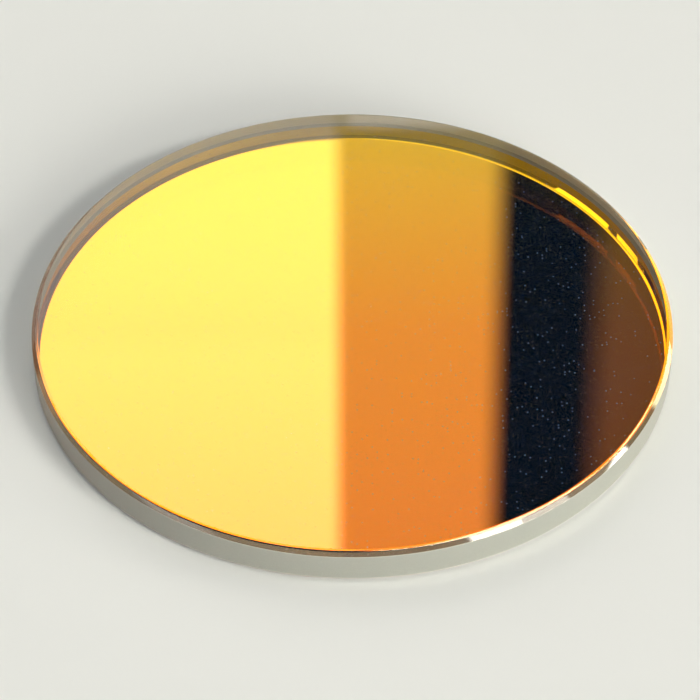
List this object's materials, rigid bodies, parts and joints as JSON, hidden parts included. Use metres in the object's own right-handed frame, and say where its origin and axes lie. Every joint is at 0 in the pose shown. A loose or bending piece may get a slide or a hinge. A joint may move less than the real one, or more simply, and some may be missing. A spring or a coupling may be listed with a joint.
{
  "type": "watch crystal",
  "caption": "Flat round watch crystal: a clear glass disc with bevelled edges and a ground side wall, with a gold mirror coating on its underside.",
  "frame": {"origin": "centre of the coated underside", "axes": "+Z out of the polished front face, along the disc's axis; X and Y lie in the underside"},
  "size_m": [0.034, 0.034, 0.002],
  "materials": {
    "mineral_glass": "polished face and bevels, ground side wall",
    "gold_mirror_film": "vacuum coated mirror, yellow to orange"
  },
  "bodies": {
    "root": {"crystal_disc": "mineral_glass", "mirror_coating": "gold_mirror_film"}
  },
  "joints": []
}
